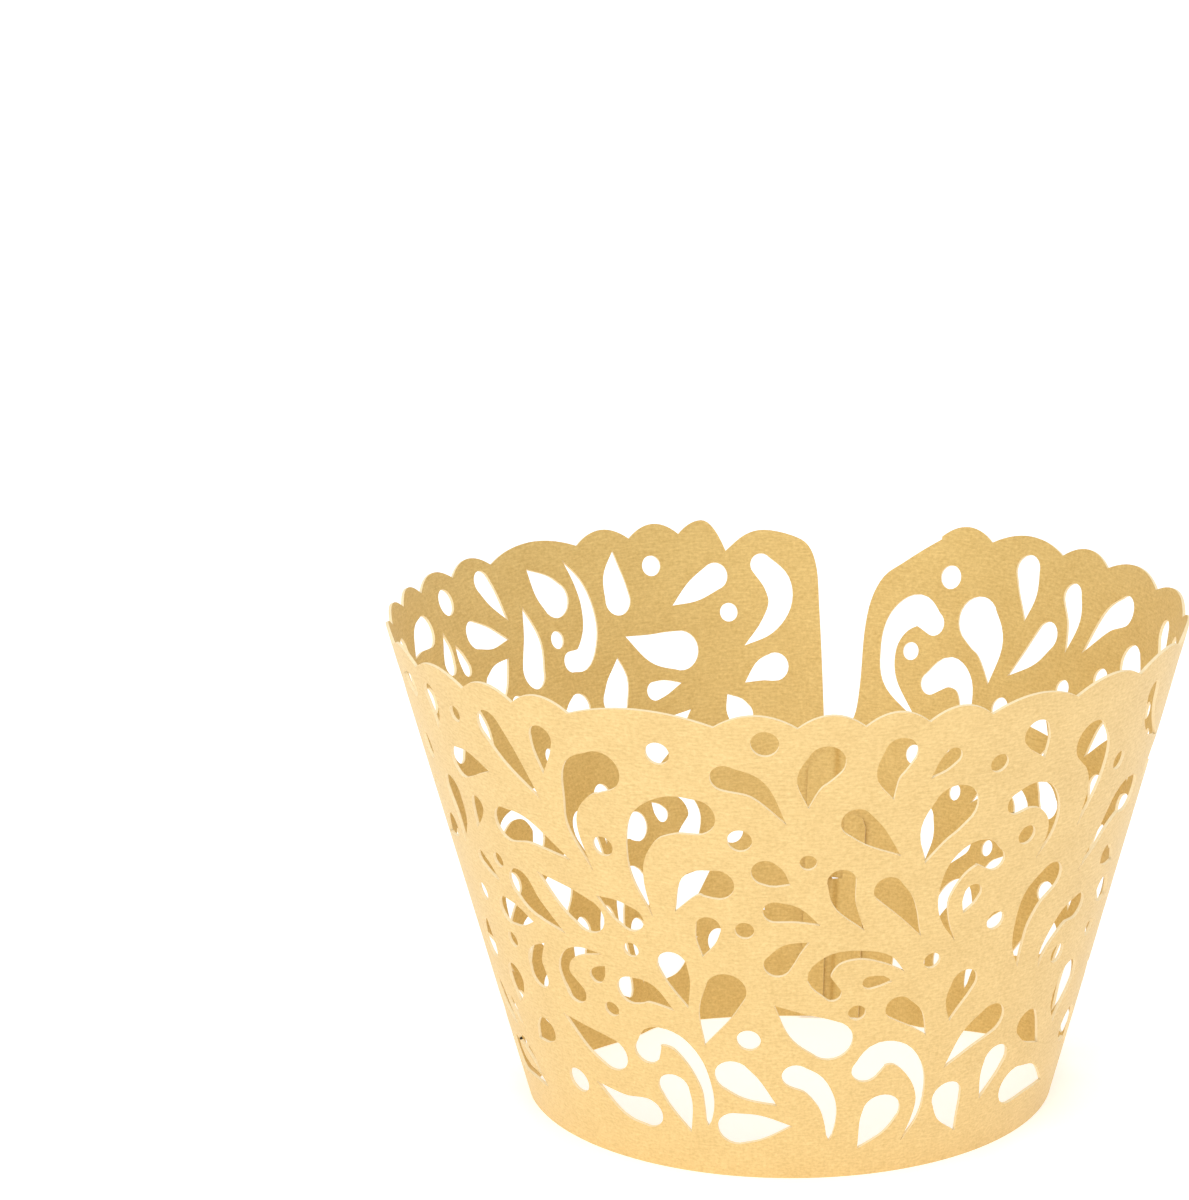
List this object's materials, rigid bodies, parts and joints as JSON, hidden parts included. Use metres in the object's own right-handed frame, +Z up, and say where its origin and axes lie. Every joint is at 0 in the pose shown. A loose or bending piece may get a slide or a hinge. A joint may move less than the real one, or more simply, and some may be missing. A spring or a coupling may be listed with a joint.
{
  "type": "cupcake wrapper",
  "caption": "Pierced card wrapper that stands as an open cone around a cupcake, with a scalloped rim and two ends that lock at the back.",
  "frame": {"origin": "on the surface it stands on, at the middle of the wrapper's base", "axes": "+Z up along the axis of the cone, -Y to the front, the join at the back near +Y"},
  "size_m": [0.0797, 0.0791, 0.0498],
  "materials": {
    "pearl_card": "warm gold pearl coating over card, satin sheen"
  },
  "bodies": {
    "root": {"wrapper": "pearl_card"}
  },
  "joints": []
}
